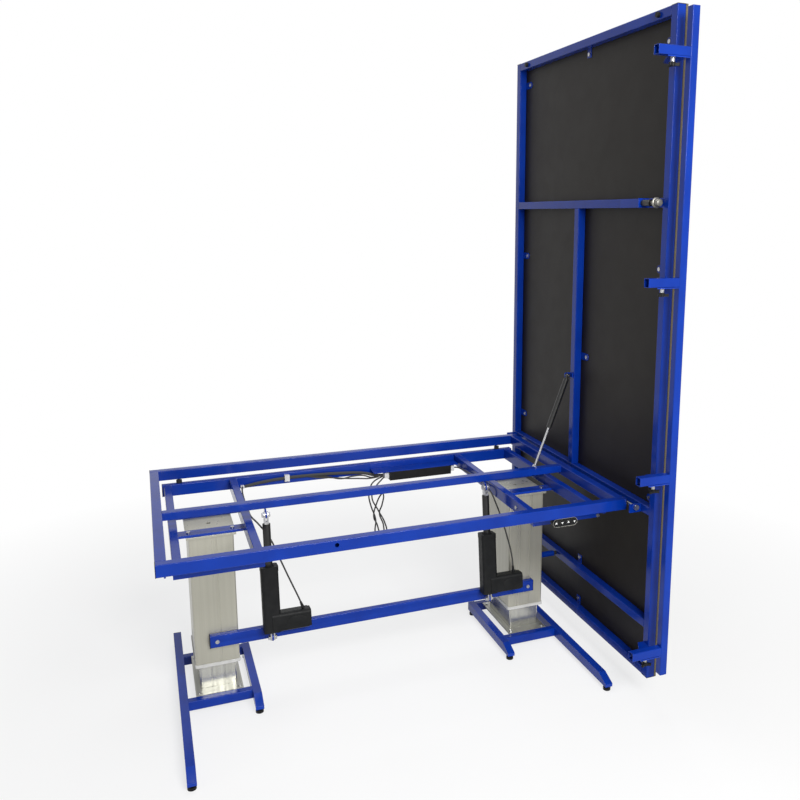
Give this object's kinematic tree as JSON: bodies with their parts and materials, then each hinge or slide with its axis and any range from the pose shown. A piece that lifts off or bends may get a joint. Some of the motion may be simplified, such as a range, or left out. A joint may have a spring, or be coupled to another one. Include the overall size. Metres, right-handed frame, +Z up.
{
  "type": "height-adjustable tilting table",
  "caption": "Steel bench frame on two telescopic lifting columns that tilts on a front hinge, with a tall board panel hinged at one end that folds down over it.",
  "frame": {"origin": "on the floor under the centre of the whole object's bounding box", "axes": "+X along the table towards the upright panel, +Y from the handset's side to the back, +Z up"},
  "size_m": [1.671, 1.289, 2.408],
  "materials": {
    "blue_paint": "glossy powder coat",
    "column_silver": "satin warm silver",
    "collar_white": "satin",
    "zinc": "satin zinc plate",
    "black_plastic": "matte",
    "dark_plastic": "fine matte grain",
    "light_plastic": "satin",
    "black_rubber": "matte",
    "black_metal": "satin black",
    "dark_metal": "satin grey",
    "film_faced_board": "dark film face, bare tan edge",
    "cable_black": "matte"
  },
  "bodies": {
    "base": {"foot_runners": "blue_paint", "foot_crossbars": "blue_paint", "foot_pads": "black_plastic", "base_plates": "column_silver", "base_screws": "zinc", "inner_columns": "column_silver", "column_glides": "light_plastic", "lift_motors": "dark_metal"},
    "lift": {"outer_columns": "column_silver", "column_collars": "collar_white", "column_heads": "column_silver", "lift_tubes": "zinc", "crossbar": "blue_paint", "lift_caps": "black_plastic", "lift_bolts": "zinc", "support_plates": "blue_paint", "lower_rear_rail": "blue_paint", "support_beams": "blue_paint", "rubber_stops": "black_rubber", "control_shelf": "blue_paint", "control_box": "black_plastic", "cables": "cable_black", "cable_fittings": "light_plastic", "stop_tube": "blue_paint"},
    "table_frame": {"long_rails": "blue_paint", "end_rails": "blue_paint", "middle_rail": "blue_paint", "frame_caps": "black_plastic", "frame_lugs": "blue_paint", "strut_stud": "zinc", "handset_body": "dark_plastic"},
    "panel": {"board": "film_faced_board", "panel_stiles": "blue_paint", "panel_rails": "blue_paint", "panel_brackets": "blue_paint", "panel_fasteners": "zinc", "panel_plastics": "black_plastic", "hinge_pins": "zinc", "latch_barrel": "black_metal"},
    "latch_plunger": {"latch_plunger": "zinc"},
    "strut_cylinder": {"strut_cylinder": "black_metal"},
    "strut_rod": {"strut_rod": "zinc"},
    "stop_rail": {"stop_rail": "blue_paint", "stop_arms": "blue_paint"},
    "handset_button_1": {"handset_button_1": "dark_plastic"},
    "clamp_knob_1": {"clamp_knob_1": "black_plastic"},
    "handset_button_2": {"handset_button_2": "dark_plastic"},
    "clamp_knob_2": {"clamp_knob_2": "black_plastic"},
    "handset_button_3": {"handset_button_3": "dark_plastic"},
    "clamp_knob_3": {"clamp_knob_3": "black_plastic"},
    "handset_button_4": {"handset_button_4": "dark_plastic"},
    "clamp_knob_4": {"clamp_knob_4": "black_plastic"},
    "left_actuator": {"left_housing": "dark_plastic", "left_foot_fork": "zinc"},
    "left_actuator_rod": {"left_rod": "black_metal", "left_rod_fork": "zinc"},
    "right_actuator": {"right_housing": "dark_plastic", "right_foot_fork": "zinc"},
    "right_actuator_rod": {"right_rod": "black_metal", "right_rod_fork": "zinc"}
  },
  "joints": [
    {"name": "lift", "type": "slide", "parent": "base", "child": "lift", "axis": [0, 0, 1], "range_m": [0, 0.33]},
    {"name": "tilt", "type": "hinge", "parent": "lift", "child": "table_frame", "pos_m": [-0.0355, -0.3165, 0.658], "axis": [1, 0, 0], "range_deg": [0, 35]},
    {"name": "left_actuator_turn", "type": "hinge", "parent": "lift", "child": "left_actuator", "pos_m": [-0.4595, -0.0445, 0.24], "axis": [1, 0, 0], "range_deg": [0, 8.7]},
    {"name": "left_actuator_stroke", "type": "slide", "parent": "left_actuator", "child": "left_actuator_rod", "axis": [0, 0.1087, 0.9941], "range_m": [0, 0.177]},
    {"name": "right_actuator_turn", "type": "hinge", "parent": "lift", "child": "right_actuator", "pos_m": [0.3885, -0.0445, 0.24], "axis": [1, 0, 0], "range_deg": [0, 8.7]},
    {"name": "right_actuator_stroke", "type": "slide", "parent": "right_actuator", "child": "right_actuator_rod", "axis": [0, 0.1087, 0.9941], "range_m": [0, 0.177]},
    {"name": "panel_flip", "type": "hinge", "parent": "table_frame", "child": "panel", "pos_m": [0.7725, 0.0595, 0.718], "axis": [0, -1, 0], "range_deg": [0, 90]},
    {"name": "strut_turn", "type": "hinge", "parent": "panel", "child": "strut_cylinder", "pos_m": [0.7755, 0.0615, 1.102], "axis": [0, -1, 0], "range_deg": [0, 23]},
    {"name": "strut_stroke", "type": "slide", "parent": "strut_cylinder", "child": "strut_rod", "axis": [0.358, 0, 0.9337], "range_m": [0, 0.156]},
    {"name": "latch_pull", "type": "slide", "parent": "panel", "child": "latch_plunger", "axis": [0, -1, 0], "range_m": [0, 0.012], "stiffness_N_per_m": 800, "springref_m": -0.01},
    {"name": "stop_rail_slide", "type": "slide", "parent": "panel", "child": "stop_rail", "axis": [1, 0, 0], "range_m": [0, 0.05]},
    {"name": "clamp_knob_1_turn", "type": "hinge", "parent": "panel", "child": "clamp_knob_1", "pos_m": [0.7395, -0.6305, 0.19408], "axis": [0, 0, 1], "range_deg": [0, 360]},
    {"name": "clamp_knob_2_turn", "type": "hinge", "parent": "panel", "child": "clamp_knob_2", "pos_m": [0.7395, -0.6305, 0.83096], "axis": [0, 0, 1], "range_deg": [0, 360]},
    {"name": "clamp_knob_3_turn", "type": "hinge", "parent": "panel", "child": "clamp_knob_3", "pos_m": [0.7395, -0.6305, 1.49593], "axis": [0, 0, 1], "range_deg": [0, 360]},
    {"name": "clamp_knob_4_turn", "type": "hinge", "parent": "panel", "child": "clamp_knob_4", "pos_m": [0.7395, -0.6305, 2.20894], "axis": [0, 0, 1], "range_deg": [0, 360]},
    {"name": "handset_button_1_press", "type": "slide", "parent": "table_frame", "child": "handset_button_1", "axis": [0, 1, 0], "range_m": [0, 0.0015], "stiffness_N_per_m": 500, "springref_m": -0.001},
    {"name": "handset_button_2_press", "type": "slide", "parent": "table_frame", "child": "handset_button_2", "axis": [0, 1, 0], "range_m": [0, 0.0015], "stiffness_N_per_m": 500, "springref_m": -0.001},
    {"name": "handset_button_3_press", "type": "slide", "parent": "table_frame", "child": "handset_button_3", "axis": [0, 1, 0], "range_m": [0, 0.0015], "stiffness_N_per_m": 500, "springref_m": -0.001},
    {"name": "handset_button_4_press", "type": "slide", "parent": "table_frame", "child": "handset_button_4", "axis": [0, 1, 0], "range_m": [0, 0.0015], "stiffness_N_per_m": 500, "springref_m": -0.001}
  ],
  "couplings": [
    {"joint": "left_actuator_turn", "follows": "tilt", "ratio": 0.24689},
    {"joint": "left_actuator_stroke", "follows": "tilt", "m_per_rad": 0.28905},
    {"joint": "right_actuator_turn", "follows": "tilt", "ratio": 0.24689},
    {"joint": "right_actuator_stroke", "follows": "tilt", "m_per_rad": 0.28905},
    {"joint": "strut_turn", "follows": "panel_flip", "ratio": 0.25393},
    {"joint": "strut_stroke", "follows": "panel_flip", "m_per_rad": 0.098893}
  ]
}
